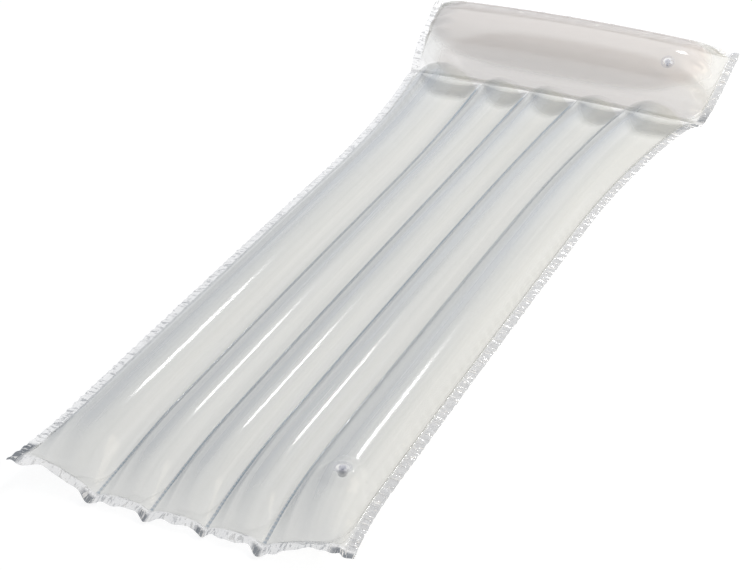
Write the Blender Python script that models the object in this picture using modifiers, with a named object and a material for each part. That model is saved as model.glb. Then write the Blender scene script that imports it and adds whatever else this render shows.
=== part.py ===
"""Inflatable pool mattress: five lengthwise air tubes, a cross pillow and two push-in valves.

Lengths are in metres. +Y runs from the foot end to the pillow, +Z is up, and the origin lies
under the middle of the mattress, on the surface it rests on.
"""
import math

import bmesh
import bpy
from mathutils import Matrix, Vector

NAME = "inflatable_pool_mattress"

# Film: two sheets of clear PVC, welded to each other
FILM = 0.0003
SHEET_GAP = 0.0003
FLANGE = 0.018
TUBE_WELD = 0.004
FOLD_WELD_HALF = 0.006
FOLD_GAP = 0.0003

# Bed: five tubes, the outer two fuller, drawn in at the waist and flaring towards the pillow
BED_LENGTH = 1.573
WAIST_WIDTH = 0.516
FOOT_WIDTH = 0.540
FOLD_WIDTH = 0.626
FOOT_FLARE = 0.150
HEAD_FLARE = 0.550
OUTER_TUBE_DEPTH = 0.082
INNER_TUBE_DEPTH = 0.062
TUBE_END = 0.070
FOOT_DRAW = 0.010
TUBES = 5
OUTER_TUBE_SHARE = 1.32
OUTER_FACETS = 7
INNER_FACETS = 5
MIDDLE_ROWS = 6
END_ROWS = 3

# Pillow: one full chamber across the head end, tipped up about the fold until it rests
PILLOW_WIDTH = 0.660
PILLOW_CHORD = 0.160
PILLOW_DEPTH = 0.150
PILLOW_END = 0.062
PILLOW_DRAW = 0.012
PILLOW_REST_STRIP = 0.018
PILLOW_FACETS = 9
PILLOW_MIDDLE_COLUMNS = 6

# Valve, the same twice: disc welded on the film, skirt, stem, cap and check flap
VALVE_CLEARANCE = 0.0003
DISC_RADIUS = 0.0140
DISC_HOLE_RADIUS = 0.0095
DISC_THICKNESS = 0.0008
SKIRT_WALL = 0.0006
STEM_LENGTH = 0.0120
STEM_RADIUS = 0.0050
STEM_BEAD = 0.0006
BEAD_HEIGHT = 0.0012
COLLAR_RADIUS = 0.0060
COLLAR_THICKNESS = 0.0010
BORE_RADIUS = 0.0027
CAP_THICKNESS = 0.0016
CAP_EDGE = 0.0003
PLUG_LENGTH = 0.0032
PLUG_TIP_RADIUS = 0.0018
STRAP_THICKNESS = 0.0008
STRAP_WIDTH = 0.0044
HINGE_REACH = 0.0075
LUG_THICKNESS = 0.0015
FLAP_RADIUS = 0.0042
FLAP_THICKNESS = 0.0006
BED_VALVE_FROM_FOOT = 0.125
PILLOW_VALVE_FROM_END = 0.095
PILLOW_VALVE_FACET = 3
TURN_STEPS = 24
CUT_OVERRUN = 0.004
TURN_MERGE = 0.00001

# Worked out from the sizes above
HALF_STACK = SHEET_GAP / 2 + FILM
BED_RISE = OUTER_TUBE_DEPTH / 2
OUTER_RISE = OUTER_TUBE_DEPTH / 2 - HALF_STACK
INNER_RISE = INNER_TUBE_DEPTH / 2 - HALF_STACK
PILLOW_RISE = PILLOW_DEPTH / 2 - HALF_STACK
PILLOW_HALF_ANGLE = 2 * math.atan2(2 * PILLOW_RISE, PILLOW_CHORD)
PILLOW_RADIUS = PILLOW_CHORD / 2 / math.sin(PILLOW_HALF_ANGLE)
PILLOW_REACH = FOLD_WELD_HALF + PILLOW_CHORD + FLANGE
REST_HALF_ANGLE = math.asin(PILLOW_REST_STRIP / 2 / PILLOW_RADIUS)


def pillow_tilt():
    """Angle at which the pillow's rest strip reaches the surface that the bed lies on."""
    along = FOLD_WELD_HALF + PILLOW_CHORD / 2
    across = PILLOW_RADIUS * math.cos(PILLOW_HALF_ANGLE) - HALF_STACK
    level = PILLOW_RADIUS * math.cos(REST_HALF_ANGLE) - BED_RISE
    return math.asin(level / math.hypot(along, across)) - math.atan2(across, along)


TILT = pillow_tilt()
LENGTH = BED_LENGTH + PILLOW_REACH * math.cos(TILT) + HALF_STACK * math.sin(TILT)
FOOT_Y = -LENGTH / 2
FOLD_Y = FOOT_Y + BED_LENGTH


def linear(value):
    """Linear light of one sRGB channel."""
    return value / 12.92 if value <= 0.04045 else ((value + 0.055) / 1.055) ** 2.4


def material(name, rgb, roughness, alpha):
    """Clear or tinted PVC."""
    made = bpy.data.materials.new(name)
    made.use_nodes = True
    shader = made.node_tree.nodes["Principled BSDF"]
    shader.inputs["Base Color"].default_value = [linear(channel) for channel in rgb] + [1.0]
    shader.inputs["Roughness"].default_value = roughness
    shader.inputs["Metallic"].default_value = 0.0
    shader.inputs["Alpha"].default_value = alpha
    return made


def add_object(name, data, parent=None, place=None, cutter=False):
    """Object in the mattress's collection, or hidden with the cutters."""
    made = bpy.data.objects.new(name, data)
    made.parent = parent
    made.matrix_local = place or Matrix.Identity(4)
    (CUTTERS if cutter else PARTS).objects.link(made)
    if cutter:
        made.hide_render = True
        made.display_type = "WIRE"
    return made


def boolean(target, tool, operation):
    """Exact Boolean on the target, with the tool kept among the cutters."""
    modifier = target.modifiers.new(operation.lower(), "BOOLEAN")
    modifier.operation = operation
    modifier.solver = "EXACT"
    modifier.object = tool


def film_sheet(name, columns, rows, place, side, parent=None):
    """A sheet: a grid moved onto its outer face, then thickened towards the air inside.

    side is 1 for an upper sheet and -1 for a lower one; place gives a grid point's position.
    """
    shade = material(name, (0.88, 0.885, 0.87), 0.12, 0.45)
    grid = bmesh.new()
    across, along = len(columns) - 1, len(rows) - 1
    bmesh.ops.create_grid(grid, x_segments=across, y_segments=along, size=1.0)
    for vertex in grid.verts:
        column = columns[round((vertex.co.x + 1) / 2 * across)]
        row = rows[round((vertex.co.y + 1) / 2 * along)]
        vertex.co = place(column, row, side)
    if side < 0:
        bmesh.ops.reverse_faces(grid, faces=grid.faces)
    mesh = bpy.data.meshes.new(name)
    grid.to_mesh(mesh)
    grid.free()
    mesh.shade_smooth()
    mesh.materials.append(shade)
    sheet = add_object(name, mesh, parent)
    thickness = sheet.modifiers.new("film", "SOLIDIFY")
    thickness.thickness = FILM
    thickness.offset = -1.0
    thickness.use_even_offset = True
    thickness.use_quality_normals = True
    return sheet


def end_steps(length):
    """Distance from a weld and share of the full rise, through a rounded end."""
    steps = [math.pi / 2 * step / END_ROWS for step in range(1, END_ROWS + 1)]
    return [(length * (1 - math.cos(angle)), math.sin(angle)) for angle in steps]


def bed_columns():
    """(tube, share across it from -1 to 1, step out onto the flange) for each grid column."""
    columns = [(0, -1.0, -FLANGE)]
    for tube in range(TUBES):
        facets = OUTER_FACETS if tube in (0, TUBES - 1) else INNER_FACETS
        columns += [(tube, 2 * step / facets - 1, 0.0) for step in range(facets + 1)]
    return columns + [(TUBES - 1, 1.0, FLANGE)]


def bed_rows():
    """(distance from the foot edge, share of the full rise) for each grid row."""
    head_weld = BED_LENGTH - FOLD_WELD_HALF
    ends = end_steps(TUBE_END)
    rows = [(0.0, 0.0), (FLANGE, 0.0)] + [(FLANGE + run, share) for run, share in ends]
    start, stop = FLANGE + TUBE_END, head_weld - TUBE_END
    rows += [(start + (stop - start) * step / MIDDLE_ROWS, 1.0) for step in range(1, MIDDLE_ROWS)]
    rows += [(head_weld - run, share) for run, share in reversed(ends)]
    return rows + [(head_weld, 0.0), (BED_LENGTH - FOLD_GAP, 0.0)]


def bed_half_width(run):
    """Half the bed's width, flanges and all, at a distance from the foot edge."""
    foot = max(0.0, 1 - run / FOOT_FLARE) ** 2
    head = max(0.0, 1 - (BED_LENGTH - run) / HEAD_FLARE) ** 2
    return (WAIST_WIDTH + (FOOT_WIDTH - WAIST_WIDTH) * foot + (FOLD_WIDTH - WAIST_WIDTH) * head) / 2


def tube_span(tube, run):
    """Middle and chord of one tube at a distance from the foot edge."""
    half = bed_half_width(run) - FLANGE
    shares = [OUTER_TUBE_SHARE if each in (0, TUBES - 1) else 1.0 for each in range(TUBES)]
    unit = (2 * half - (TUBES - 1) * TUBE_WELD) / sum(shares)
    chord = unit * shares[tube]
    return -half + unit * sum(shares[:tube]) + TUBE_WELD * tube + chord / 2, chord


def bed_point(column, row, side):
    """Outer face of a bed sheet; the middle facet of every tube lies at its full rise."""
    tube, share, flange = column
    run, rise_share = row
    middle, chord = tube_span(tube, run)
    outer = tube in (0, TUBES - 1)
    rise = OUTER_RISE if outer else INNER_RISE
    angle = 2 * math.atan2(2 * rise, chord)
    crest = math.cos(angle / (OUTER_FACETS if outer else INNER_FACETS))
    lift = (math.cos(angle * share) - math.cos(angle)) / (crest - math.cos(angle))
    across = middle + chord / 2 * math.sin(angle * share) / math.sin(angle) + flange
    drawn = 0.0
    if run < FLANGE + TUBE_END:
        drawn = FOOT_DRAW * (1 - share ** 2) * (1 - rise_share)
    height = HALF_STACK + rise * rise_share * lift
    return Vector((across, FOOT_Y + run + drawn, BED_RISE + side * height))


def pillow_columns():
    """(place across the mattress, share of the full rise, share of the drawn-in end)."""
    weld = PILLOW_WIDTH / 2 - FLANGE
    half = [(PILLOW_WIDTH / 2, 0.0, 1.0), (weld, 0.0, 1.0)]
    half += [(weld - run, share, 1 - share) for run, share in end_steps(PILLOW_END)]
    inner = weld - PILLOW_END
    steps = range(1, PILLOW_MIDDLE_COLUMNS)
    middle = [(inner * (2 * step / PILLOW_MIDDLE_COLUMNS - 1), 1.0, 0.0) for step in steps]
    left = [(-place, share, draw) for place, share, draw in half]
    return left + middle + half[::-1]


def pillow_rows(angles):
    """(distance from the fold, arc angle) for each grid row; welds have no angle."""
    middle = FOLD_WELD_HALF + PILLOW_CHORD / 2
    arc = [(middle + PILLOW_RADIUS * math.sin(angle), angle) for angle in angles]
    return [(FOLD_GAP, None)] + arc + [(PILLOW_REACH, None)]


def upper_angles():
    """Even steps over the pillow's upper arc."""
    steps = range(PILLOW_FACETS + 1)
    return [PILLOW_HALF_ANGLE * (2 * step / PILLOW_FACETS - 1) for step in steps]


def lower_angles():
    """Steps over the lower arc, with one facet level at the rest strip."""
    near, far = -TILT - REST_HALF_ANGLE, -TILT + REST_HALF_ANGLE
    before = round((near + PILLOW_HALF_ANGLE) / (2 * PILLOW_HALF_ANGLE) * PILLOW_FACETS)
    after = PILLOW_FACETS - 1 - before
    first = [-PILLOW_HALF_ANGLE + (near + PILLOW_HALF_ANGLE) * step / before
             for step in range(before + 1)]
    last = [far + (PILLOW_HALF_ANGLE - far) * step / after for step in range(after + 1)]
    return first + last


def pillow_point(column, row, side):
    """Outer face of a pillow sheet, in the frame of the fold."""
    place, rise_share, draw_share = column
    run, angle = row
    taper = (PILLOW_WIDTH - FOLD_WIDTH) / 2 * (1 - run / PILLOW_REACH) ** 4
    across_share = 2 * (run - FOLD_WELD_HALF) / PILLOW_CHORD - 1
    drawn = PILLOW_DRAW * max(0.0, 1 - across_share ** 2) * draw_share
    half = PILLOW_WIDTH / 2
    across = place * (1 - (taper + drawn) / half)
    rise = 0.0
    if angle is not None:
        rise = PILLOW_RADIUS * (math.cos(angle) - math.cos(PILLOW_HALF_ANGLE)) * rise_share
    return Vector((across, run, side * (HALF_STACK + rise)))


def turned(name, outline, shade, parent):
    """Ring turned from a closed (radius, height) outline that runs down its outer side first."""
    mesh = bpy.data.meshes.new(name)
    count = len(outline)
    edges = [(step, (step + 1) % count) for step in range(count)]
    mesh.from_pydata([(radius, 0.0, height) for radius, height in outline], edges, [])
    mesh.materials.append(shade)
    ring = add_object(name, mesh, parent)
    screw = ring.modifiers.new("turn", "SCREW")
    screw.steps = TURN_STEPS
    screw.render_steps = TURN_STEPS
    screw.use_merge_vertices = True
    screw.merge_threshold = TURN_MERGE
    return ring


def solid(name, shape, shade, parent, place=None, cutter=False):
    """Object from a bmesh, which is used up."""
    mesh = bpy.data.meshes.new(name)
    shape.to_mesh(mesh)
    shape.free()
    mesh.materials.append(shade)
    return add_object(name, mesh, parent, place, cutter)


def round_bar(low, high, low_radius, high_radius, forward=0.0):
    """Cylinder or taper along Z between two heights, its axis moved forward along +Y."""
    shape = bmesh.new()
    middle = Matrix.Translation((0, forward, (low + high) / 2))
    bmesh.ops.create_cone(shape, cap_ends=True, segments=TURN_STEPS, radius1=low_radius,
                          radius2=high_radius, depth=high - low, matrix=middle)
    return shape


def flat_bar(low, high, back, front, width):
    """Rectangular bar between two heights, from back to front along +Y."""
    shape = bmesh.new()
    middle = Matrix.Translation((0, (back + front) / 2, (low + high) / 2))
    size = Matrix.Diagonal((width, front - back, high - low, 1))
    bmesh.ops.create_cube(shape, size=1.0, matrix=middle @ size)
    return shape


def add_valve(prefix, seat, film):
    """One push-in valve, pushed in and plugged; height 0 is the film's outer face.

    The strap's hinge lies towards -Y of the seat, and the flap's hinge too.
    """
    tint = material(prefix + "_tint", (0.80, 0.81, 0.90), 0.30, 0.80)
    clear = material(prefix + "_clear", (0.88, 0.88, 0.92), 0.25, 0.55)

    # Hole in the film, as wide as the one in the disc that is welded round it
    hole = solid(prefix + "_film_hole", round_bar(-CUT_OVERRUN, CUT_OVERRUN, DISC_HOLE_RADIUS,
                 DISC_HOLE_RADIUS), clear, seat, cutter=True)
    boolean(film, hole, "DIFFERENCE")
    low = VALVE_CLEARANCE
    top = low + DISC_THICKNESS
    edge = DISC_THICKNESS / 2
    disc = [(DISC_HOLE_RADIUS, top), (DISC_RADIUS - edge, top), (DISC_RADIUS, top - edge),
            (DISC_RADIUS, low), (DISC_HOLE_RADIUS, low)]
    turned(prefix + "_disc", disc, clear, seat)

    # Skirt from the disc's hole down to the collar at the stem's inner end
    lip = DISC_HOLE_RADIUS - VALVE_CLEARANCE
    foot = COLLAR_RADIUS + VALVE_CLEARANCE + SKIRT_WALL
    deep = COLLAR_THICKNESS / 2 - STEM_LENGTH
    skirt = [(lip - SKIRT_WALL, top), (lip, top), (lip, -FILM), (foot, deep),
             (foot - SKIRT_WALL, deep), (lip - SKIRT_WALL, -FILM)]
    turned(prefix + "_skirt", skirt, clear, seat)

    # Stem with a bead round its mouth, a collar at its inner end and a lug for the strap
    bead = STEM_RADIUS + STEM_BEAD
    inner = COLLAR_THICKNESS - STEM_LENGTH
    outline = [(BORE_RADIUS, 0.0), (bead, 0.0), (bead, -BEAD_HEIGHT),
               (STEM_RADIUS, -BEAD_HEIGHT - STEM_BEAD), (STEM_RADIUS, inner),
               (COLLAR_RADIUS, inner), (COLLAR_RADIUS, -STEM_LENGTH),
               (BORE_RADIUS, -STEM_LENGTH)]
    stem = turned(prefix + "_stem", outline, tint, seat)
    wall_middle = (BORE_RADIUS + STEM_RADIUS) / 2
    lug = solid(prefix + "_lug", flat_bar(-LUG_THICKNESS, -VALVE_CLEARANCE / 2, -HINGE_REACH,
                -wall_middle, STRAP_WIDTH), tint, stem, cutter=True)
    boolean(stem, lug, "UNION")

    # Cap with its plug and strap, one piece whose origin is on the strap's hinge line
    hinge = Vector((0, -HINGE_REACH, VALVE_CLEARANCE / 2))
    under = VALVE_CLEARANCE - hinge.z
    over = under + CAP_THICKNESS
    tip = -PLUG_LENGTH - hinge.z
    plug_radius = BORE_RADIUS - VALVE_CLEARANCE
    cap = solid(prefix + "_cap", round_bar(under, over, bead, bead, HINGE_REACH), tint, stem,
                Matrix.Translation(hinge))
    soften = cap.modifiers.new("edge", "BEVEL")
    soften.width = CAP_EDGE
    soften.segments = 1
    plug = solid(prefix + "_plug", round_bar(tip, under + CAP_THICKNESS / 2, PLUG_TIP_RADIUS,
                 plug_radius, HINGE_REACH), tint, cap, cutter=True)
    strap = solid(prefix + "_strap", flat_bar(under, under + STRAP_THICKNESS, 0.0,
                  HINGE_REACH - STEM_RADIUS + CAP_EDGE, STRAP_WIDTH), tint, cap, cutter=True)
    boolean(cap, plug, "UNION")
    boolean(cap, strap, "UNION")

    # Check flap under the bore, with its origin on its own hinge line
    flap_place = Matrix.Translation((0, -FLAP_RADIUS, -STEM_LENGTH - VALVE_CLEARANCE))
    solid(prefix + "_check_flap", round_bar(-FLAP_THICKNESS, 0.0, FLAP_RADIUS, FLAP_RADIUS,
          FLAP_RADIUS), tint, stem, flap_place)


def add_bed():
    """Bed sheets and the valve on the crest of the last tube, near the foot."""
    top = film_sheet("bed_top_film", bed_columns(), bed_rows(), bed_point, 1)
    film_sheet("bed_bottom_film", bed_columns(), bed_rows(), bed_point, -1)
    middle = tube_span(TUBES - 1, BED_VALVE_FROM_FOOT)[0]
    crest = BED_RISE + HALF_STACK + OUTER_RISE
    place = Matrix.Translation((middle, FOOT_Y + BED_VALVE_FROM_FOOT, crest))
    seat = add_object("bed_valve_seat", None, None, place)
    add_valve("bed_valve", seat, top)


def add_pillow():
    """Pillow sheets, hung on the fold, and the valve on one facet of the upper sheet."""
    place = Matrix.Translation((0, FOLD_Y, BED_RISE)) @ Matrix.Rotation(TILT, 4, "X")
    fold = add_object("pillow_fold", None, None, place)
    columns = pillow_columns()
    upper, lower = pillow_rows(upper_angles()), pillow_rows(lower_angles())
    top = film_sheet("pillow_top_film", columns, upper, pillow_point, 1, fold)
    film_sheet("pillow_bottom_film", columns, lower, pillow_point, -1, fold)
    near, far = upper[PILLOW_VALVE_FACET + 1], upper[PILLOW_VALVE_FACET + 2]
    column = (PILLOW_WIDTH / 2 - PILLOW_VALVE_FROM_END, 1.0, 0.0)
    origin = (pillow_point(column, near, 1) + pillow_point(column, far, 1)) / 2
    lean = Matrix.Rotation(-(near[1] + far[1]) / 2, 4, "X")
    seat = add_object("pillow_valve_seat", None, fold, Matrix.Translation(origin) @ lean)
    add_valve("pillow_valve", seat, top)


for leftover in list(bpy.data.objects):
    bpy.data.objects.remove(leftover)
PARTS = bpy.data.collections.new(NAME)
CUTTERS = bpy.data.collections.new("cutters")
bpy.context.scene.collection.children.link(PARTS)
bpy.context.scene.collection.children.link(CUTTERS)
add_bed()
add_pillow()
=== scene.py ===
import math
import random

import bmesh
import bpy
from mathutils import Matrix, Quaternion, Vector
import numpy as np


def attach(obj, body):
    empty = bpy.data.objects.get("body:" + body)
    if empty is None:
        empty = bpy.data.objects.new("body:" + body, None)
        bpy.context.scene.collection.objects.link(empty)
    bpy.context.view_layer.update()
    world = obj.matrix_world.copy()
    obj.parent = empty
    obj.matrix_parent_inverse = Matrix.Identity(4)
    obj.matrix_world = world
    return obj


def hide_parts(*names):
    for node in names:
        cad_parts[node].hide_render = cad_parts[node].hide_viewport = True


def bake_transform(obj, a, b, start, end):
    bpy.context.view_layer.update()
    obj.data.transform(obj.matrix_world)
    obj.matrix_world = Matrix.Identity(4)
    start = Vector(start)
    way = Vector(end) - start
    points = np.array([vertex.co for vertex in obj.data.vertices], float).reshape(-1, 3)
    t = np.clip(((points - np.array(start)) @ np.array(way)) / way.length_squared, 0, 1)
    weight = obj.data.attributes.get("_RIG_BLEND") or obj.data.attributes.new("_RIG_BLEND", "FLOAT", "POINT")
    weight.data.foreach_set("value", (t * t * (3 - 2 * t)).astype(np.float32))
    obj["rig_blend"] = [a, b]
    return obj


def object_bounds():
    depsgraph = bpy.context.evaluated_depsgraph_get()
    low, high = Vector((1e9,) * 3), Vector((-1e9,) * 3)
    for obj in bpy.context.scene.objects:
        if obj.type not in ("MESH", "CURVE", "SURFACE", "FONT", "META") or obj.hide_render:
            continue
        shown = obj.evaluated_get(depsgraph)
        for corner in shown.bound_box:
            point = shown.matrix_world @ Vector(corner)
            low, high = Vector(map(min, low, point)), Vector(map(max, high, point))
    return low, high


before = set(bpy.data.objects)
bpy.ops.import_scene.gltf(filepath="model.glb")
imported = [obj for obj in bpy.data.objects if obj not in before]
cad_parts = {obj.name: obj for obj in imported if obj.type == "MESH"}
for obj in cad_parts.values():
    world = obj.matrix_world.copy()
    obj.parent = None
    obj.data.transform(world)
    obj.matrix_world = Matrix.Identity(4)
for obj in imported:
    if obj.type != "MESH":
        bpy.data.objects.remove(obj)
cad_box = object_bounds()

FILM = 0.0003
CUT_WIDTH = 0.670
CUT_BED = 1.562
CUT_PILLOW_CHAMBER = 0.236
CUT_RIM = 0.020
TUBE_WELD = 0.004
FOLD_WELD_HALF = 0.006
TUBES = 5
OUTER_TUBE_SHARE = 1.38
CELL_ACROSS = 0.009
CELL_ALONG = 0.0050
RIM_CELLS = 3

RIM = 0.018
BED_LENGTH = 1.573
WAIST_WIDTH = 0.516
FOOT_WIDTH = 0.540
FOLD_WIDTH = 0.626
FOOT_FLARE = 0.150
HEAD_FLARE = 0.550
OUTER_TUBE_RISE = 0.0406
INNER_TUBE_RISE = 0.0306
FOOT_END = 0.080
HEAD_END = 0.040
HEAD_SWELL = 0.06
SWELL_REACH = 0.080
FOOT_DRAW = 0.003
FOOT_ARCH = 0.006
FOOT_TABS = (1.0, 0.5, 0.4, 0.0, 0.7, 0.5)
FOOT_TAB = 0.001
FOOT_TUCK = 0.008
TAB_START = 0.25
TAB_FULL = 0.70
FOOT_BOW = 0.010
BOW_MIDDLE = 0.060
BOW_HALF = 0.260
FOOT_LEAN = -0.010
HEAD_LEAN = 0.012
SEAM_SAG = 0.009
FOLD_SAG = 0.006
FOLD_BOW = 0.014
BOW_START = 0.150
SAG_START = 0.100
FOOT_DROOP = 0.025
DROOP_REACH = 0.240
RIM_FALL = 0.002
REST_HEIGHT = 0.041
PILLOW_WIDTH = 0.668
PILLOW_CHORD = 0.160
PILLOW_RISE = 0.0746
PILLOW_END = 0.080
PILLOW_DRAW = 0.003
PILLOW_BOW = 0.020
FOOT_Y = cad_box[0].y
FOLD_Y = FOOT_Y + BED_LENGTH
PILLOW_TILT = math.radians(23.226)


def stations(start, stop, cell):
    """Even steps from start to stop, with both kept."""
    count = max(1, round((stop - start) / cell))
    return [start + (stop - start) * step / count for step in range(count + 1)]


def tube_shares():
    return [OUTER_TUBE_SHARE if tube in (0, TUBES - 1) else 1.0 for tube in range(TUBES)]


def blank_columns():
    """(tube, share across it from -1 to 1, share of the rim, flat place) from left to right."""
    shares = tube_shares()
    unit = (CUT_WIDTH - 2 * CUT_RIM - (TUBES - 1) * TUBE_WELD) / sum(shares)
    rim = [step / RIM_CELLS for step in range(1, RIM_CELLS + 1)]
    edge = CUT_WIDTH / 2 - CUT_RIM
    columns = [(0, -1.0, -step, -edge - CUT_RIM * step) for step in reversed(rim)]
    place = -edge
    for tube, share in enumerate(shares):
        width = unit * share
        steps = round(width / CELL_ACROSS)
        columns += [(tube, 2 * step / steps - 1, 0.0, place + width * step / steps)
                    for step in range(steps + 1)]
        place += width + TUBE_WELD
    return columns + [(TUBES - 1, 1.0, step, edge + CUT_RIM * step) for step in rim]


def blank_rows():
    """(zone, flat place) from the foot edge to the far edge of the pillow."""
    head = CUT_BED - FOLD_WELD_HALF
    near = CUT_BED + FOLD_WELD_HALF
    far = near + CUT_PILLOW_CHAMBER
    rows = [("foot", place) for place in stations(0.0, CUT_RIM, CELL_ALONG)[:-1]]
    rows += [("bed", place) for place in stations(CUT_RIM, head, CELL_ALONG)]
    rows += [("fold", place) for place in stations(head, near, FOLD_WELD_HALF / 2)[1:-1]]
    rows += [("pillow", place) for place in stations(near, far, CELL_ALONG)]
    return rows + [("far", place) for place in stations(far, far + CUT_RIM, CELL_ALONG)[1:]]


def cut_place(column, row):
    """Place of a point on the flat cut, whose far edge is bowed out in the middle."""
    near = CUT_BED + FOLD_WELD_HALF
    reach = min(max((row[1] - near) / (CUT_PILLOW_CHAMBER + CUT_RIM), 0.0), 1.0)
    return column[3], row[1] + PILLOW_BOW * (1 - (2 * column[3] / CUT_WIDTH) ** 2) * reach


def round_end(run, length):
    """Share of the full rise at a distance from a weld, through a rounded end."""
    return math.sqrt(1 - (1 - min(max(run / length, 0.0), 1.0)) ** 2)


def sloping_end(run, length):
    """The same through an end that slopes down gently to its weld."""
    return math.sin(math.pi / 2 * min(max(run / length, 0.0), 1.0))


def ease(value, start, stop):
    """From 0 at start to 1 at stop, gently at both ends."""
    share = min(max((value - start) / (stop - start), 0.0), 1.0)
    return share * share * (3 - 2 * share)


def bed_half_width(run):
    foot = max(0.0, 1 - run / FOOT_FLARE) ** 2
    head = max(0.0, 1 - (BED_LENGTH - run) / HEAD_FLARE) ** 2
    return (WAIST_WIDTH + (FOOT_WIDTH - WAIST_WIDTH) * foot + (FOLD_WIDTH - WAIST_WIDTH) * head) / 2


def lean(run):
    """Sideways shift of the bed, which lies a little askew to its pillow."""
    return FOOT_LEAN + (HEAD_LEAN - FOOT_LEAN) * (min(run, BED_LENGTH) / BED_LENGTH) ** 2


def fold_bow(across, away):
    """How far the ends of the fold lie towards the foot, fading out away from it."""
    return FOLD_BOW * (2 * across / FOLD_WIDTH) ** 2 * max(0.0, 1 - away / BOW_START) ** 2


def tube_span(tube, run):
    """Middle and chord of a blown-up tube at a distance from the foot edge."""
    half = bed_half_width(run) - RIM
    shares = tube_shares()
    unit = (2 * half - (TUBES - 1) * TUBE_WELD) / sum(shares)
    chord = unit * shares[tube]
    return -half + unit * sum(shares[:tube]) + TUBE_WELD * tube + chord / 2, chord


def weld_height(column, run):
    """Height of the weld plane: the inner tubes and the fold settle, and most the foot edge."""
    tube, share, _, _ = column
    inner = 1.0
    if tube in (0, TUBES - 1):
        across = (1 + (share if tube == 0 else -share)) / 2
        inner = across ** 2 * (3 - 2 * across)
    near_fold = max(0.0, 1 - (BED_LENGTH - run) / SAG_START) ** 2
    inner += (1 - inner) * near_fold
    droop = FOOT_DROOP * max(0.0, 1 - run / DROOP_REACH) ** 2
    return REST_HEIGHT - inner * (SEAM_SAG + droop) - FOLD_SAG * near_fold


def bed_place(column, flat, side):
    """A point of the bed with air in it; side is 1 for the upper sheet, -1 for the lower."""
    tube, share, rim, _ = column
    head = BED_LENGTH - FOLD_WELD_HALF
    run = RIM + (flat - CUT_RIM) / (CUT_BED - FOLD_WELD_HALF - CUT_RIM) * (head - RIM)
    foot_full = sloping_end(run - RIM, FOOT_END)
    full = min(foot_full, round_end(head - run, HEAD_END))
    middle, chord = tube_span(tube, run)
    rise = OUTER_TUBE_RISE if tube in (0, TUBES - 1) else INNER_TUBE_RISE
    rise *= 1 + HEAD_SWELL * max(0.0, 1 - (head - run) / SWELL_REACH) ** 2 * (side > 0)
    angle = 2 * math.atan2(2 * rise, chord)
    lift = (math.cos(angle * share) - math.cos(angle)) / (1 - math.cos(angle))
    across = middle + chord / 2 * math.sin(angle * share) / math.sin(angle) + rim * RIM
    outside = max(0.0, 1 - run / RIM)
    crown = (1 - share ** 2) * (1 - foot_full)
    bow = FOOT_BOW * max(0.0, 1 - ((across - BOW_MIDDLE) / BOW_HALF) ** 2)
    tab = FOOT_TABS[tube + (share > 0)] * ease(abs(share), TAB_START, TAB_FULL)
    drawn = FOOT_DRAW * crown + (FOOT_TUCK * (1 - tab) - FOOT_TAB * tab) * outside
    drawn -= bow * max(0.0, 1 - run / DROOP_REACH) ** 2
    drawn -= fold_bow(across, BED_LENGTH - run)
    height = weld_height(column, run) + FOOT_ARCH * crown - RIM_FALL * max(abs(rim), outside)
    return Vector((across + lean(run), FOOT_Y + run + drawn, height + side * rise * full * lift))


def pillow_place(column, zone, flat, side):
    """A point of the pillow, or of the weld at the fold, tipped up about the fold line."""
    half_angle = 2 * math.atan2(2 * PILLOW_RISE, PILLOW_CHORD)
    radius = PILLOW_CHORD / 2 / math.sin(half_angle)
    near = CUT_BED + FOLD_WELD_HALF
    rise = 0.0
    if zone == "fold":
        run = flat - CUT_BED
    elif zone == "far":
        run = FOLD_WELD_HALF + PILLOW_CHORD + (flat - near - CUT_PILLOW_CHAMBER) / CUT_RIM * RIM
    else:
        angle = half_angle * (2 * (flat - near) / CUT_PILLOW_CHAMBER - 1)
        run = FOLD_WELD_HALF + PILLOW_CHORD / 2 + radius * math.sin(angle)
        rise = radius * (math.cos(angle) - math.cos(half_angle))
    half = PILLOW_WIDTH / 2
    across = column[3] / (CUT_WIDTH / 2) * half
    full = round_end(half - RIM - abs(across), PILLOW_END)
    reach = FOLD_WELD_HALF + PILLOW_CHORD + RIM
    run += PILLOW_BOW * (1 - (across / half) ** 2) * max(run, 0.0) / reach
    taper = (PILLOW_WIDTH - FOLD_WIDTH) / 2 * (1 - max(run, 0.0) / reach) ** 4
    middle = 2 * (run - FOLD_WELD_HALF) / PILLOW_CHORD - 1
    drawn = PILLOW_DRAW * max(0.0, 1 - middle ** 2) * (1 - full)
    across *= 1 - (taper + drawn) / half
    sag = (SEAM_SAG + FOLD_SAG) * max(0.0, 1 - max(run, 0.0) / SAG_START) ** 2
    tilt = Matrix.Rotation(PILLOW_TILT if run > 0 else 0.0, 3, "X")
    fold = Vector((HEAD_LEAN, FOLD_Y - fold_bow(across, abs(run)), REST_HEIGHT - sag))
    return fold + tilt @ Vector((across, run, side * rise * full))


def blown_place(column, row, side):
    zone, flat = row
    if zone in ("foot", "bed"):
        return bed_place(column, flat, side)
    return pillow_place(column, zone, flat, side)


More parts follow.
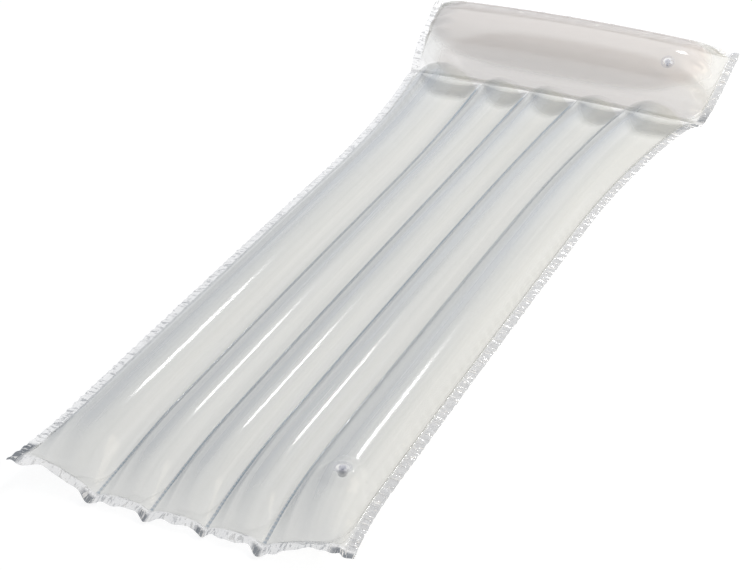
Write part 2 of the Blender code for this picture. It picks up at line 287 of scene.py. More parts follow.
# Welds: high-frequency bars melt the two sheets into one along the rim, the four lines between
# the tubes and the strip at the fold. The tube lines start at the foot weld and stop short of the
# fold, so that the air can pass there. The hot bar draws the film up and leaves the rim in pleats.
HEAD_PASSAGE = 0.012
# Painted shade on the tubes' left flanks fades out over this length at both ends of the bed.
FLANK_SHADE_ENDS = 0.100
# Oval of painted warm shade in the middle of the pillow.
DEEP_MIDDLE = -0.02
DEEP_HALF = 0.80
# Where painted shade and light lie at the tubes' ends, the fold, the rims and the tucked foot rim; CAP_REACH
# also sets where the cloth holds the caps.
CAP_REACH = 0.050
CAP_START = 0.3
CAP_RISE = 0.03
LENS_REACH = 0.062
LENS_EDGE = 0.60
LENS_NARROWING = 0.3
FOOT_CORNER = 2.5
FOLD_CORNER = 0.150
RIGHT_SHADE = 0.40
LEFT_SHADE = -0.30
FOLD_SHADE = 0.22
PILLOW_FOLD_LIGHT_REACH = 0.065
PILLOW_FOLD_LIGHT = 0.45
TUCK_START = 0.55
TUCK_DEEP = 0.60
TUCK_EASE = 0.1
PLEAT = 0.016
END_PLEAT = 0.030
PLEAT_RISE = 0.0022
EDGE_WANDER = 0.005
WANDER = 0.055
PUCKER_SPACING = 0.030
PILLOW_END_PUCKER = (0.075, 1.0)
BED_SIDE_PUCKER = (0.030, 0.35)
FAR_PUCKER = (0.050, 0.6)
FOOT_PUCKER = (0.060, 0.45)
SHAKE = 0.0003
shaken = random.Random(5)


def is_welded(column, row):
    zone, flat = row
    _, share, _, place = column
    if zone in ("foot", "fold", "far") or abs(place) > CUT_WIDTH / 2 - CUT_RIM - FILM:
        return True
    if zone == "pillow":
        near = CUT_BED + FOLD_WELD_HALF
        return flat < near + FILM or flat > near + CUT_PILLOW_CHAMBER - FILM
    head = CUT_BED - FOLD_WELD_HALF
    on_line = abs(share) == 1.0 and flat < head - HEAD_PASSAGE
    return on_line or flat < CUT_RIM + FILM or flat > head - FILM


def weld_mark(column, row):
    """How strongly a weld shows: 1 on the tube lines, and hardly on the rim and at the fold."""
    _, share, _, place = column
    on_line = row[0] == "bed" and abs(share) == 1.0 and abs(place) < CUT_WIDTH / 2 - CUT_RIM - FILM
    return (1.0 if on_line else 0.8) if is_welded(column, row) else 0.0


def flank_shade_share(column, row, side):
    """1 on the upper sheet of the bed, where painted shade shows on the tubes' left flanks beside the welds,
    and 0 at its ends.
    """
    if side < 0 or row[0] != "bed":
        return 0.0
    return min(1.0, row[1] / FLANK_SHADE_ENDS, max(0.0, CUT_BED - row[1]) / FLANK_SHADE_ENDS)


def deep_shade_share(column, row):
    """From 0 near the pillow's welds to 1 in its middle, where the chamber is deepest and its painted warm
    shade strongest.
    """
    if row[0] != "pillow":
        return 0.0
    across = abs(column[3]) / (CUT_WIDTH / 2 - CUT_RIM)
    along = 2 * (row[1] - CUT_BED - FOLD_WELD_HALF) / CUT_PILLOW_CHAMBER - 1
    return max(0.0, 1 - across ** 4 - ((along - DEEP_MIDDLE) / DEEP_HALF) ** 2)


def end_shade_and_light(column, row, side):
    """Painted shade and light on the film. Above 0 it is painted shade, greyer, on the lower sheet's
    end caps, at the fold, on the right rim, at the left foot corner and where the foot rim is tucked
    under. Below 0 it is painted light, whiter and clearer, on the upper sheet's end caps, the left
    rim and the pillow near the fold."""
    tube, share, rim, _ = column
    head = CUT_BED - FOLD_WELD_HALF - row[1]
    if rim < 0 and row[1] < CUT_RIM * FOOT_CORNER:
        return 1.0
    if row[0] == "foot":
        tucked = row[1] < CUT_RIM * TUCK_DEEP
        return min(1.0, max(0.0, share - TUCK_START) / TUCK_EASE) * tucked
    if row[0] == "fold":
        return FOLD_SHADE
    if rim:
        return LEFT_SHADE if rim < 0 else max(RIGHT_SHADE, 1 - abs(head) / FOLD_CORNER)
    if row[0] == "pillow":
        return -PILLOW_FOLD_LIGHT * max(0.0, 1 - (row[1] - CUT_BED - FOLD_WELD_HALF) / PILLOW_FOLD_LIGHT_REACH) ** 0.5
    if row[0] != "bed" or head < 0.0:
        return 0.0
    if side > 0:
        return -min(1.0, CAP_START + head / CAP_RISE) * max(0.0, 1 - head / CAP_REACH) ** 0.5
    reach = max(0.0, 1 - share ** 2) ** 0.5
    if tube == TUBES - 1 and share > 0:
        reach = 1 - LENS_NARROWING * share
    return min(1.0, max(0.0, (reach - head / LENS_REACH) / LENS_EDGE))


def pucker_share(i, j, waves):
    """Height from -1 to 1 of the puckers that run from a gathered weld into the chamber."""
    place, (zone, flat) = COLUMNS[i][3], ROWS[j]
    inward = CUT_WIDTH / 2 - CUT_RIM - abs(place)
    far = CUT_BED + FOLD_WELD_HALF + CUT_PILLOW_CHAMBER
    side_pucker = PILLOW_END_PUCKER if zone == "pillow" else BED_SIDE_PUCKER
    total = 0.0
    for away, (reach, size), wave in (
            (inward, side_pucker, waves[place > 0][j]),
            (far - flat if zone == "pillow" else 1.0, FAR_PUCKER, waves[2][i]),
            (flat - CUT_RIM if zone == "bed" else 1.0, FOOT_PUCKER, waves[3][i])):
        if 0.0 < away < reach:
            total += size * wave * math.sin(math.pi * (away / reach) ** 0.5)
    return total


def pleat_wave(count, cell, pleat):
    """Heights from -1 to 1 along an edge, each pleat a little longer or shorter than the last."""
    heights, start, length, size = [], 0.0, pleat, 1.0
    for step in range(count):
        if step * cell - start > length:
            start, length = start + length, pleat * shaken.uniform(0.75, 1.3)
            size = shaken.uniform(0.5, 1.0)
        heights.append(size * math.sin(math.tau * (step * cell - start) / length))
    return heights


COLUMNS, ROWS = blank_columns(), blank_rows()
WELDED = [[is_welded(column, row) for row in ROWS] for column in COLUMNS]
SHEETS = ("bed_top", "bed_bottom", "pillow_top", "pillow_bottom")

blank = bmesh.new()
column_layer = blank.verts.layers.int.new("column")
row_layer = blank.verts.layers.int.new("row")
weld_layer = blank.verts.layers.float.new("weld")
flank_shade_layer = blank.verts.layers.float.new("haze")
span_layer = blank.verts.layers.float.new("span")
pucker_layer = blank.verts.layers.float.new("pucker")
rim_layer = blank.verts.layers.float.new("rim")
deep_layer = blank.verts.layers.float.new("deep")
shade_layer = blank.verts.layers.float.new("shade")
sheet_layer = blank.faces.layers.int.new("sheet")
joined_layer = blank.faces.layers.int.new("joined")
cut_layer = blank.loops.layers.uv.new("cut")
sides = []
for side in (1, -1):
    pucker_waves = [pleat_wave(len(steps), cell, PUCKER_SPACING) for steps, cell in
                    ((ROWS, CELL_ALONG), (ROWS, CELL_ALONG), (COLUMNS, CELL_ACROSS),
                     (COLUMNS, CELL_ACROSS))]
    made = bmesh.ops.create_grid(blank, x_segments=len(COLUMNS) - 1, y_segments=len(ROWS) - 1,
                                 size=1.0)["verts"]
    placed = {}
    for vertex in made:
        i = round((vertex.co.x + 1) / 2 * (len(COLUMNS) - 1))
        j = round((vertex.co.y + 1) / 2 * (len(ROWS) - 1))
        placed[i, j] = vertex
        vertex[column_layer], vertex[row_layer] = i, j
        vertex[weld_layer] = weld_mark(COLUMNS[i], ROWS[j])
        vertex[flank_shade_layer] = flank_shade_share(COLUMNS[i], ROWS[j], side)
        vertex[span_layer] = (1 + COLUMNS[i][1]) / 2
        vertex[pucker_layer] = pucker_share(i, j, pucker_waves)
        vertex[rim_layer] = 2.0 if ROWS[j][0] in ("foot", "far") else float(bool(COLUMNS[i][2]))
        vertex[deep_layer] = deep_shade_share(COLUMNS[i], ROWS[j])
        vertex[shade_layer] = end_shade_and_light(COLUMNS[i], ROWS[j], side)
    for (i, j), vertex in placed.items():
        vertex.co = blown_place(COLUMNS[i], ROWS[j], side)
    lower_faces = {face for vertex in made for face in vertex.link_faces}
    for face in lower_faces:
        corners = [(loop.vert[column_layer], loop.vert[row_layer]) for loop in face.loops]
        low_row = min(j for _, j in corners)
        pillow = ROWS[low_row][0] in ("fold", "pillow", "far") or ROWS[low_row + 1][0] == "fold"
        face[sheet_layer] = 2 * pillow + (side < 0)
        face[joined_layer] = all(WELDED[i][j] for i, j in corners)
        for loop, (i, j) in zip(face.loops, corners):
            loop[cut_layer].uv = cut_place(COLUMNS[i], ROWS[j])
    sides.append((placed, lower_faces))
lower_placed, lower_faces = sides[1]
bmesh.ops.reverse_faces(blank, faces=list(lower_faces))
bmesh.ops.delete(blank, geom=[face for face in lower_faces if face[joined_layer]], context="FACES")
welds = {vertex: sides[0][0][key] for key, vertex in lower_placed.items()
         if vertex.is_valid and WELDED[key[0]][key[1]]}
for vertex, partner in welds.items():
    partner.co = (partner.co + vertex.co) / 2
bmesh.ops.weld_verts(blank, targetmap=welds)

side_waves = [pleat_wave(len(ROWS), CELL_ALONG, PLEAT) for _ in range(2)]
end_waves = [pleat_wave(len(COLUMNS), CELL_ACROSS, END_PLEAT) for _ in range(2)]
end_wander = [pleat_wave(len(COLUMNS), CELL_ACROSS, WANDER) for _ in range(2)]
far_edge = ROWS[-1][1] - CUT_RIM
for vertex in blank.verts:
    i, j = vertex[column_layer], vertex[row_layer]
    rim, (zone, flat) = COLUMNS[i][2], ROWS[j]
    wave = abs(rim) * side_waves[rim > 0][j]
    if zone == "foot":
        wave += (1 - flat / CUT_RIM) * end_waves[0][i]
        vertex.co.y += EDGE_WANDER * (1 - flat / CUT_RIM) * end_wander[0][i]
    elif zone == "far":
        wave += (flat - far_edge) / CUT_RIM * end_waves[1][i]
        vertex.co.z += EDGE_WANDER * (flat - far_edge) / CUT_RIM * end_wander[1][i]
    if rim or zone in ("foot", "far"):
        vertex.co += Vector([shaken.gauss(0, SHAKE) for _ in range(3)])
        vertex.co.z += PLEAT_RISE * wave

# Air: the two chambers are blown up through their valves until the tubes are tight. The cloth
# starts near its blown shape, springs back towards the flat cut, and is pressed out by the air.
# The tube welds hold their places, and the rim, longer than its weld, gathers into pleats.
SETTLE_FRAMES = 12
AIR_PRESSURE = 150.0
RIM_GROWTH = 0.02
LINE_GROWTH = 0.15
LINE_HOLD = 0.5
CAP_HOLD = 0.2
PILLOW_HOLD = 0.30
RIM_HOLD = 0.30

mesh = bpy.data.meshes.new("mattress_film")
blank.to_mesh(mesh)
blank.free()
mesh.shade_smooth()
mattress = bpy.data.objects.new("mattress_film", mesh)
bpy.context.scene.collection.objects.link(mattress)

grid_place = [(mesh.attributes["column"].data[k].value, mesh.attributes["row"].data[k].value)
              for k in range(len(mesh.vertices))]
mattress.shape_key_add(name="blown")
flat_cut = mattress.shape_key_add(name="flat cut")
flat_cut.value = 0.0
air = mattress.vertex_groups.new(name="air")
hold = mattress.vertex_groups.new(name="hold")
taut = mattress.vertex_groups.new(name="taut")
edge = CUT_WIDTH / 2 - CUT_RIM
for k, (i, j) in enumerate(grid_place):
    zone, flat = ROWS[j]
    flat_cut.data[k].co = (*cut_place(COLUMNS[i], ROWS[j]), 0)
    on_rim = abs(COLUMNS[i][3]) > edge - FILM or zone in ("foot", "far")
    if not WELDED[i][j]:
        air.add([k], 1.0, "REPLACE")
        taut.add([k], 1.0, "REPLACE")
        if zone == "bed" and CUT_BED - flat < CAP_REACH:
            hold.add([k], CAP_HOLD, "REPLACE")
        continue
    taut.add([k], 0.0 if on_rim else 1 - LINE_GROWTH, "REPLACE")
    share = PILLOW_HOLD if zone == "pillow" and on_rim else LINE_HOLD
    if COLUMNS[i][2] or zone in ("foot", "far"):
        share = RIM_HOLD
    hold.add([k], share, "REPLACE")
cloth = mattress.modifiers.new("air", "CLOTH")
film = cloth.settings
film.rest_shape_key = flat_cut
film.quality = 5
film.mass = 0.1
film.air_damping = 0.5
film.tension_stiffness = film.compression_stiffness = 25
film.shear_stiffness = 8
film.bending_stiffness = 0.01
film.tension_damping = film.compression_damping = film.shear_damping = 1
film.bending_damping = 0.01
film.use_pressure = True
film.uniform_pressure_force = AIR_PRESSURE
film.vertex_group_pressure = air.name
film.vertex_group_mass = hold.name
film.pin_stiffness = 5
film.shrink_min = -RIM_GROWTH
film.shrink_max = 0.0
film.vertex_group_shrink = taut.name
film.effector_weights.gravity = 0
cloth.collision_settings.use_collision = False
cloth.point_cache.frame_end = SETTLE_FRAMES + 1
for step in range(1, SETTLE_FRAMES + 1):
    bpy.context.scene.frame_set(step)
rounding = mattress.modifiers.new("rounding", "SUBSURF")
rounding.levels = rounding.render_levels = 1
blown = bpy.data.meshes.new_from_object(mattress.evaluated_get(bpy.context.evaluated_depsgraph_get()))
bpy.context.scene.frame_set(1)
bpy.data.objects.remove(mattress)


# Film: clear PVC, calendered smooth and a little milky, so it shows as glass does: bright where
# it mirrors the lamps, grey where the eye meets it at a slant, and nearly gone where it faces
# the eye. The weld bar leaves it bluish, with painted shade on the left flank of each tube beside
# it. The rim has fine creases, white partly as painted glints, the deep middle of the pillow has
# painted warm shade, and the tubes' ends have painted shade below and painted light above.
def linear(code):
    """Linear colour of an sRGB hex value."""
    parts = [int(code[at:at + 2], 16) / 255 for at in (1, 3, 5)]
    parts = [part / 12.92 if part <= 0.04045 else ((part + 0.055) / 1.055) ** 2.4 for part in parts]
    return (*parts, 1.0)


def add_node(tree, kind, settings=None, **links):
    """A node with its settings and its input values or links; _ stands for a space in a name."""
    node = tree.nodes.new(kind)
    for key, value in (settings or {}).items():
        setattr(node, key, value)
    for key, value in links.items():
        socket = node.inputs[int(key[1:])] if key[1:].isdigit() else node.inputs[key.replace("_", " ")]
        if isinstance(value, bpy.types.NodeSocket):
            tree.links.new(value, socket)
        else:
            socket.default_value = value
    return node


def start_material(name):
    made = bpy.data.materials.new(name)
    made.use_nodes = True
    made.node_tree.nodes.clear()
    return made, made.node_tree


def film_material(name, milk, slants, polish):
    made, tree = start_material(name)
    cut = add_node(tree, "ShaderNodeUVMap", {"uv_map": "cut"}).outputs["UV"]
    weld, ends, span, edge, deep, shade = (
        add_node(tree, "ShaderNodeAttribute", {"attribute_name": layer}).outputs["Fac"]
        for layer in ("weld", "haze", "span", "rim", "deep", "shade"))
    slant = add_node(tree, "ShaderNodeLayerWeight", Blend=0.5).outputs["Facing"]
    graded = []
    for value, levels in ((span, FLANK_SHADE_BANDS), (slant, slants)):
        ramp = add_node(tree, "ShaderNodeValToRGB", Fac=value)
        stops = ramp.color_ramp.elements
        stops[0].position, stops[1].position = levels[0][0], levels[-1][0]
        for place, _ in levels[1:-1]:
            stops.new(place)
        for stop, (_, level) in zip(stops, levels):
            stop.color = (level, level, level, 1.0)
        graded.append(ramp.outputs["Color"])
    band, veil = graded
    # Painted shade on the left flank of each tube, strongest near its left weld.
    haze = add_node(tree, "ShaderNodeMath", {"operation": "MULTIPLY"}, _0=ends,
                    _1=band).outputs[0]
    rim = add_node(tree, "ShaderNodeMapRange", Value=edge, From_Max=1.0).outputs[0]
    at_end = add_node(tree, "ShaderNodeMapRange", Value=edge, From_Min=1.0, From_Max=2.0).outputs[0]
    cloud = add_node(tree, "ShaderNodeTexNoise", {"noise_dimensions": "2D"}, Vector=cut, Scale=CLOUDS,
                     Detail=3.0).outputs["Fac"]
    ripple = add_node(tree, "ShaderNodeTexNoise", {"noise_dimensions": "2D"}, Vector=cut,
                      Scale=RIPPLES, Detail=0.5).outputs["Fac"]
    pulled = add_node(tree, "ShaderNodeMapping", Vector=cut, Scale=GRAIN).outputs[0]
    grain = add_node(tree, "ShaderNodeTexNoise", {"noise_dimensions": "2D"}, Vector=pulled,
                     Scale=1.0, Detail=3.0).outputs["Fac"]
    creases = []
    for scale in (SIDE_CREASES, END_CREASES):
        drawn = add_node(tree, "ShaderNodeMapping", Vector=cut, Scale=scale).outputs[0]
        creases.append(add_node(tree, "ShaderNodeTexNoise", {"noise_dimensions": "2D"}, Vector=drawn,
                                Scale=1.0, Detail=1.5, Distortion=0.4).outputs["Fac"])
    crease = add_node(tree, "ShaderNodeMix", _0=at_end, _2=creases[0], _3=creases[1]).outputs[0]
    line = add_node(tree, "ShaderNodeMapRange", Value=weld, From_Min=0.82, From_Max=1.0).outputs[0]
    along = add_node(tree, "ShaderNodeSeparateXYZ", Vector=cut).outputs["Y"]
    knurl = add_node(tree, "ShaderNodeMath", {"operation": "SINE"}, _0=add_node(
        tree, "ShaderNodeMath", {"operation": "MULTIPLY"}, _0=along,
        _1=math.tau / KNURL).outputs[0]).outputs[0]
    knurl = add_node(tree, "ShaderNodeMapRange", Value=knurl, From_Min=-1.0, To_Min=0.45).outputs[0]
    line = add_node(tree, "ShaderNodeMath", {"operation": "MULTIPLY"}, _0=line, _1=knurl).outputs[0]
    # Painted warm shade in the pillow's deep middle.
    painted_deep_shade = add_node(tree, "ShaderNodeMapRange", {"interpolation_type": "SMOOTHSTEP"}, Value=deep,
                     From_Min=0.02, From_Max=0.35).outputs[0]
    # Fine creases on the rims, which also bump the surface; their white is partly painted glints.
    creased = add_node(tree, "ShaderNodeMapRange", Value=crease, From_Min=0.56,
                       From_Max=0.66).outputs[0]
    creased = add_node(tree, "ShaderNodeMath", {"operation": "MULTIPLY"}, _0=creased,
                       _1=rim).outputs[0]
    # More painted shade on the rims, where the shade attribute is above 0.
    rim_shade = add_node(tree, "ShaderNodeMath", {"operation": "MULTIPLY"}, _0=shade,
                        _1=rim).outputs[0]
    colour = add_node(tree, "ShaderNodeMix", {"data_type": "RGBA"}, _0=cloud, _6=linear(milk[0]),
                      _7=linear(milk[1])).outputs[2]
    # Painted light, white and clearer, where the shade attribute is below 0.
    clear = add_node(tree, "ShaderNodeMath", {"operation": "MULTIPLY"}, _0=shade,
                     _1=-1.0).outputs[0]
    for share, tone in ((painted_deep_shade, DEEP_SHADE_TONE), (shade, SHADE_TONE), (clear, PAINTED_LIGHT_TONE),
                        (haze, FLANK_SHADE_TONE),
                        (line, LINE_TONE), (rim, RIM_TONE), (rim_shade, SHADE_TONE),
                        (creased, CREASE_AND_GLINT_TONE)):
        colour = add_node(tree, "ShaderNodeMix", {"data_type": "RGBA"}, _0=share, _6=colour,
                          _7=linear(tone)).outputs[2]
    for share, more in ((painted_deep_shade, DEEP_SHADE_VEIL), (shade, SHADE_VEIL), (haze, FLANK_SHADE_VEIL),
                        (line, LINE_VEIL), (creased, CREASE_AND_GLINT_VEIL)):
        veil = add_node(tree, "ShaderNodeMath", {"operation": "MULTIPLY_ADD", "use_clamp": True},
                        _0=share, _1=more, _2=veil).outputs[0]
    lines = add_node(tree, "ShaderNodeMapRange", Value=grain, From_Min=0.3, From_Max=0.7,
                     To_Min=-GRAIN_VEIL, To_Max=GRAIN_VEIL).outputs[0]
    lines = add_node(tree, "ShaderNodeMath", {"operation": "MULTIPLY"}, _0=lines,
                     _1=ends).outputs[0]
    veil = add_node(tree, "ShaderNodeMath", {"operation": "ADD", "use_clamp": True}, _0=veil,
                    _1=lines).outputs[0]
    rough = add_node(tree, "ShaderNodeMapRange", Value=cloud, To_Min=polish[0],
                     To_Max=polish[1]).outputs[0]
    bump = add_node(tree, "ShaderNodeBump", Strength=0.025, Distance=0.0004, Height=ripple)
    bump = add_node(tree, "ShaderNodeBump", Strength=0.60, Distance=0.0004, Height=creased,
                    Normal=bump.outputs["Normal"])
    shader = add_node(tree, "ShaderNodeBsdfPrincipled", Base_Color=colour, Roughness=rough,
                      IOR=1.53, Alpha=veil, Normal=bump.outputs["Normal"])
    add_node(tree, "ShaderNodeOutputMaterial", Surface=shader.outputs["BSDF"])
    return made


# Patterns per metre of film: clouds of about 110 mm, ripples of 17 mm, grain drawn out along the
# tubes and 11 mm wide, and creases of 4 by 17 mm, square to the edge that they run in from.
CLOUDS = 9.0
RIPPLES = 60.0
GRAIN = (90.0, 1.2, 1.0)
SIDE_CREASES = (60.0, 230.0, 1.0)
END_CREASES = (230.0, 60.0, 1.0)
# Painted shade across each tube from its left weld (0) to its right weld (1): strong on the left, gone on
# the right.
FLANK_SHADE_BANDS = ((0.0, 0.25), (0.08, 0.40), (0.17, 1.0), (0.25, 0.90), (0.31, 0.40), (0.36, 0.55),
              (0.45, 0.75), (0.52, 0.62), (0.60, 0.40), (0.70, 0.28), (0.80, 0.05), (1.0, 0.0))
# Painted warm shade in the pillow's deep middle.
DEEP_SHADE_TONE, DEEP_SHADE_VEIL = "#d8cfca", 0.30
# Painted shade where the shade attribute is above 0, painted light where it is below 0.
SHADE_TONE, SHADE_VEIL = "#90969e", 0.46
PAINTED_LIGHT_TONE = "#ffffff"
# Painted shade, bluish, on the left flank of each tube.
FLANK_SHADE_TONE, FLANK_SHADE_VEIL = "#8e9ba9", 0.32
LINE_TONE, LINE_VEIL = "#9db2c4", 0.24
RIM_TONE = "#e2e3e6"
# White of the rim creases, partly painted glints.
CREASE_AND_GLINT_TONE, CREASE_AND_GLINT_VEIL = "#ffffff", 0.55
GRAIN_VEIL = 0.030
KNURL = 0.007
UPPER_SLANTS = ((0.0, 0.30), (0.38, 0.30), (0.50, 0.30), (0.62, 0.32), (0.75, 0.34), (0.90, 0.40),
                (0.97, 0.48), (1.0, 0.60))
LOWER_SLANTS = ((0.0, 0.12), (0.50, 0.13), (0.75, 0.20), (0.90, 0.32), (1.0, 0.50))
top_film = film_material("clear_pvc_film_upper", ("#c3c3b4", "#bcbdb2"), UPPER_SLANTS, (0.10, 0.16))
bottom_film = film_material("clear_pvc_film_lower", ("#b8bab6", "#b2b5b2"), LOWER_SLANTS, (0.30, 0.42))
# The pillow's films are lighter copies of the same film: painted light on the pillow.
pillow_top_film = film_material("clear_pvc_film_pillow_upper", ("#dad9cf", "#d3d3cb"), UPPER_SLANTS,
                                (0.08, 0.13))
pillow_bottom_film = film_material("clear_pvc_film_pillow_lower", ("#d6d6ce", "#cfd0cb"),
                                   LOWER_SLANTS, (0.30, 0.42))
SHEET_FILMS = (top_film, bottom_film, pillow_top_film, pillow_bottom_film)

# The four sheets: upper and lower film of the bed, and upper and lower film of the pillow. The
# real sheets run on through the weld at the fold, and that strip goes with the pillow here and
# bends as the pillow turns. Under each valve disc the film has a round hole and lies flat.
LIE_FLAT = 0.0142
EASE_OUT = 0.040
HOLE = 0.0097
HOLE_CORE = 0.6
PUCKER = 0.0038
SMOOTHINGS = 5
SEATS = {
    "bed_top": Matrix.Translation((0.185957, -0.746133, 0.082)),
    "pillow_top": Matrix.Translation((0.232358, 0.729692, 0.128606))
    @ Matrix.Rotation(math.atan2(0.67338, 0.7393), 4, "X"),
}


def seat_valve(sheet, seat):
    """Lay the film flat round a seat, ease it out to its own shape, and cut the hole."""
    inward = seat.inverted()
    near = [vertex for vertex in sheet.verts if (vertex.co - seat.translation).length < EASE_OUT]
    for vertex in near:
        place = inward @ vertex.co
        out = math.hypot(place.x, place.y)
        place.z *= ease(out, LIE_FLAT, EASE_OUT)
        if HOLE * HOLE_CORE < out < HOLE:
            place.xy *= HOLE / out
        vertex.co = seat @ place
    inner = [face for face in {face for vertex in near for face in vertex.link_faces}
             if all((inward @ vertex.co).xy.length < HOLE + FILM for vertex in face.verts)]
    bmesh.ops.delete(sheet, geom=inner, context="FACES")


def film_piece(number):
    name = SHEETS[number]
    lower = name.endswith("bottom")
    sheet = bmesh.new()
    sheet.from_mesh(blown)
    own = sheet.faces.layers.int["sheet"]
    joined = sheet.faces.layers.int["joined"]
    shared = [face for face in sheet.faces if lower and face[joined] and face[own] == number - 1]
    kept = set(shared) | {face for face in sheet.faces if face[own] == number}
    bmesh.ops.delete(sheet, geom=[face for face in sheet.faces if face not in kept],
                     context="FACES")
    bmesh.ops.reverse_faces(sheet, faces=shared)
    weld = sheet.verts.layers.float["weld"]
    loose = [vertex for vertex in sheet.verts if vertex[weld] < 0.05]
    for _ in range(SMOOTHINGS):
        bmesh.ops.smooth_vert(sheet, verts=loose, factor=0.5, use_axis_x=True, use_axis_y=True,
                              use_axis_z=True)
    pucker = sheet.verts.layers.float["pucker"]
    sheet.normal_update()
    for vertex in sheet.verts:
        vertex.co += vertex.normal * (FILM / 2 + PUCKER * vertex[pucker])
        vertex.co.z = max(vertex.co.z, FILM)
    if name in SEATS:
        seat_valve(sheet, SEATS[name])
    data = bpy.data.meshes.new(name + "_sheet")
    sheet.to_mesh(data)
    sheet.free()
    data.shade_smooth()
    data.materials.clear()
    data.materials.append(SHEET_FILMS[number])
    piece = bpy.data.objects.new(name + "_sheet", data)
    bpy.context.scene.collection.objects.link(piece)
    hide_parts(name + "_film")
    return piece


FOLD_START = (0, FOLD_Y - FOLD_WELD_HALF, REST_HEIGHT)
FOLD_END = (0, FOLD_Y + FOLD_WELD_HALF * math.cos(PILLOW_TILT), REST_HEIGHT)
for number in (0, 1):
    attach(film_piece(number), "bed")
for number in (2, 3):
    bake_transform(film_piece(number), "bed", "pillow", start=FOLD_START, end=FOLD_END)

# Valves: soft PVC mouldings, milky with a faint lavender tint, pushed in and plugged. The disc
# is welded to the film, the skirt turns in and out of the chamber, and the stem carries a cap
# on a strap and a check flap under its bore.
SKIRT_WALL = 0.0004
SKIRT_TOP = 0.0011
SKIRT_LIP = 0.0093
SKIRT_FOOT = 0.0069
SKIRT_DEEP = -0.0115
TURN_STEPS = 32


def valve_material(name, light, dark, alpha):
    made, tree = start_material(name)
    place = add_node(tree, "ShaderNodeTexCoord").outputs["Object"]
    cloud = add_node(tree, "ShaderNodeTexNoise", Vector=place, Scale=260.0, Detail=3.0).outputs["Fac"]
    grain = add_node(tree, "ShaderNodeTexNoise", Vector=place, Scale=1800.0, Detail=2.0).outputs["Fac"]
    colour = add_node(tree, "ShaderNodeMix", {"data_type": "RGBA"}, _0=cloud, _6=linear(light),
                      _7=linear(dark)).outputs[2]
    rough = add_node(tree, "ShaderNodeMapRange", Value=cloud, To_Min=0.22, To_Max=0.38).outputs[0]
    bump = add_node(tree, "ShaderNodeBump", Strength=0.15, Distance=0.0001, Height=grain)
    shader = add_node(tree, "ShaderNodeBsdfPrincipled", Base_Color=colour, Roughness=rough,
                      IOR=1.53, Alpha=alpha, Normal=bump.outputs["Normal"])
    add_node(tree, "ShaderNodeOutputMaterial", Surface=shader.outputs["BSDF"])
    return made


valve_clear = valve_material("soft_pvc_moulding_clear", "#eef0f8", "#e4e7f2", 0.14)
valve_tint = valve_material("soft_pvc_moulding_milky", "#e9ebf8", "#dde1f4", 0.20)


def skirt_piece(prefix, seat, body):
    """Funnel between the disc and the stem, spun from its profile, with a real wall."""
    funnel = bmesh.new()
    profile = [(SKIRT_LIP, SKIRT_TOP), (SKIRT_LIP, -FILM), (SKIRT_LIP * 0.90, SKIRT_DEEP * 0.30),
               (SKIRT_LIP * 0.83, SKIRT_DEEP * 0.60), (SKIRT_FOOT, SKIRT_DEEP)]
    points = [funnel.verts.new((out, 0, up)) for out, up in profile]
    line = [funnel.edges.new(pair) for pair in zip(points, points[1:])]
    bmesh.ops.spin(funnel, geom=points + line, cent=(0, 0, 0), axis=(0, 0, 1),
                   angle=math.tau, steps=TURN_STEPS, use_merge=True)
    bmesh.ops.remove_doubles(funnel, verts=funnel.verts, dist=FILM / 10)
    bmesh.ops.recalc_face_normals(funnel, faces=funnel.faces)
    bmesh.ops.transform(funnel, matrix=seat, verts=funnel.verts)
    data = bpy.data.meshes.new(prefix + "_funnel")
    funnel.to_mesh(data)
    funnel.free()
    data.shade_smooth()
    data.materials.append(valve_clear)
    piece = bpy.data.objects.new(prefix + "_funnel", data)
    bpy.context.scene.collection.objects.link(piece)
    wall = piece.modifiers.new("wall", "SOLIDIFY")
    wall.thickness = SKIRT_WALL
    wall.offset = -1.0
    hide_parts(prefix + "_skirt")
    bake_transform(piece, body, prefix.replace("_valve", "_stem"), start=seat @ Vector((0, 0, SKIRT_TOP)),
             end=seat @ Vector((0, 0, SKIRT_DEEP)))
    return piece


for prefix, seat, body in (("bed_valve", SEATS["bed_top"], "bed"),
                           ("pillow_valve", SEATS["pillow_top"], "pillow")):
    skirt_piece(prefix, seat, body)
    for part, shade in (("disc", valve_clear), ("stem", valve_tint), ("cap", valve_tint),
                        ("check_flap", valve_tint)):
        node = bpy.data.objects[prefix + "_" + part]
        node.data.materials.clear()
        node.data.materials.append(shade)

# Floor and backdrop: a plain white table that the mattress lies on. Its colour is the
# photograph's white to the eye and to gloss, and a pale matt one to the lamps.
floor_mesh = bmesh.new()
bmesh.ops.create_grid(floor_mesh, x_segments=1, y_segments=1, size=30.0)
floor_data = bpy.data.meshes.new("floor")
floor_mesh.to_mesh(floor_data)
floor_mesh.free()
floor = bpy.data.objects.new("floor", floor_data)
bpy.context.scene.collection.objects.link(floor)

FLOOR_SHARE = 0.82
floor_shade, tree = start_material("white_table")
rays = add_node(tree, "ShaderNodeLightPath").outputs
shown = add_node(tree, "ShaderNodeMath", {"operation": "ADD", "use_clamp": True},
                 _0=rays["Is Camera Ray"], _1=rays["Is Glossy Ray"]).outputs[0]
shown = add_node(tree, "ShaderNodeMath", {"operation": "ADD", "use_clamp": True}, _0=shown,
                 _1=rays["Is Transmission Ray"]).outputs[0]
matt = add_node(tree, "ShaderNodeBsdfDiffuse", Color=linear("#e4e4e4")).outputs["BSDF"]
pale = add_node(tree, "ShaderNodeBsdfDiffuse", Color=linear("#9c9c9c")).outputs["BSDF"]
glow = add_node(tree, "ShaderNodeEmission", Color=linear("#ffffff"), Strength=FLOOR_SHARE)
both = add_node(tree, "ShaderNodeAddShader", _0=pale, _1=glow.outputs[0]).outputs[0]
mixed = add_node(tree, "ShaderNodeMixShader", _0=shown, _1=matt, _2=both).outputs[0]
add_node(tree, "ShaderNodeOutputMaterial", Surface=mixed)
floor_data.materials.append(floor_shade)

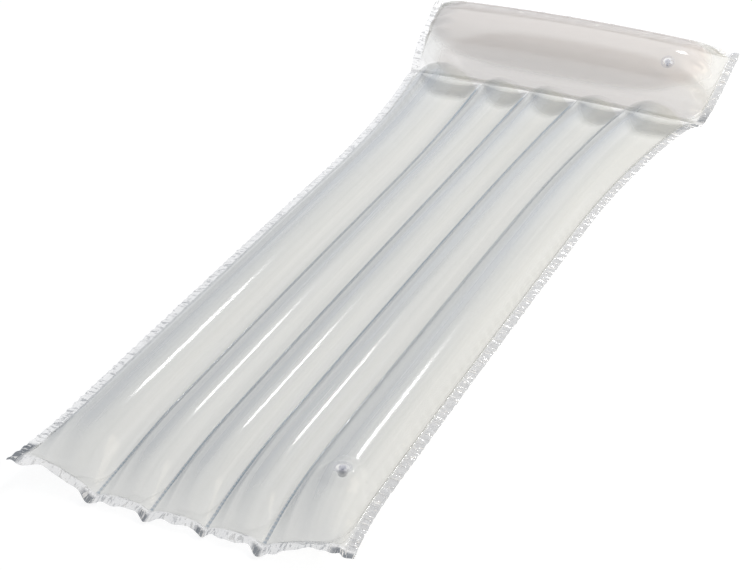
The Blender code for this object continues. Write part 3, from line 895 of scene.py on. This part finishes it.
# Light: a pale studio room with wide soft lamps overhead, to the right and beyond both ends, and
# a narrow bright window strip that draws the streaks along the tubes.
world = bpy.data.worlds.new("studio")
bpy.context.scene.world = world
world.use_nodes = True
sky = world.node_tree
sky.nodes.clear()
room = add_node(sky, "ShaderNodeBackground", Color=linear("#d6dce6"), Strength=0.38).outputs[0]
add_node(sky, "ShaderNodeOutputWorld", Surface=room)


def soft_lamp(name, place, target, width, length, watts, tone="#ffffff"):
    data = bpy.data.lights.new(name, "AREA")
    data.shape = "RECTANGLE"
    data.size, data.size_y = width, length
    data.energy = watts
    data.color = linear(tone)[:3]
    lamp = bpy.data.objects.new(name, data)
    lamp.location = place
    lamp.rotation_euler = (Vector(target) - Vector(place)).to_track_quat("-Z", "Y").to_euler()
    bpy.context.scene.collection.objects.link(lamp)


soft_lamp("overhead", (0.2, -0.2, 2.6), (0, -0.2, 0), 2.4, 2.4, 7)
soft_lamp("right_wall", (2.6, 0.2, 1.1), (0, -0.2, 0), 1.4, 2.8, 56, "#fff3de")
soft_lamp("head_wall", (-0.6, 3.0, 1.3), (0, 0.3, 0), 2.4, 1.2, 7, "#eef3ff")
soft_lamp("foot_wall", (-0.8, -3.2, 1.5), (0, 0.4, 0.1), 2.4, 1.4, 6)
soft_lamp("window", (0.15, 1.6, 2.1), (-0.1, -0.6, 0.07), 0.24, 0.60, 20.0)

# Camera: fitted to the corners and seams of the photograph.
AZIMUTH, ELEVATION, ROLL = math.radians(22.75), math.radians(29.87), math.radians(1.19)
DISTANCE = 3.14
SENSOR = 36.0
FOCAL_PIXELS = 1843
PHOTO_PIXELS = 752
TARGET = Vector((-0.0277, -0.1316, 0.0))
back = Vector((math.sin(AZIMUTH) * math.cos(ELEVATION), -math.cos(AZIMUTH) * math.cos(ELEVATION),
               math.sin(ELEVATION)))
view = bpy.data.cameras.new("camera")
view.sensor_width = SENSOR
view.lens = SENSOR * FOCAL_PIXELS / PHOTO_PIXELS
camera = bpy.data.objects.new("camera", view)
camera.location = TARGET + back * DISTANCE
camera.rotation_euler = (back.to_track_quat("Z", "Y") @ Quaternion((0, 0, 1), ROLL)).to_euler()
bpy.context.scene.collection.objects.link(camera)
bpy.context.scene.camera = camera
bpy.context.scene.view_settings.view_transform = "Standard"
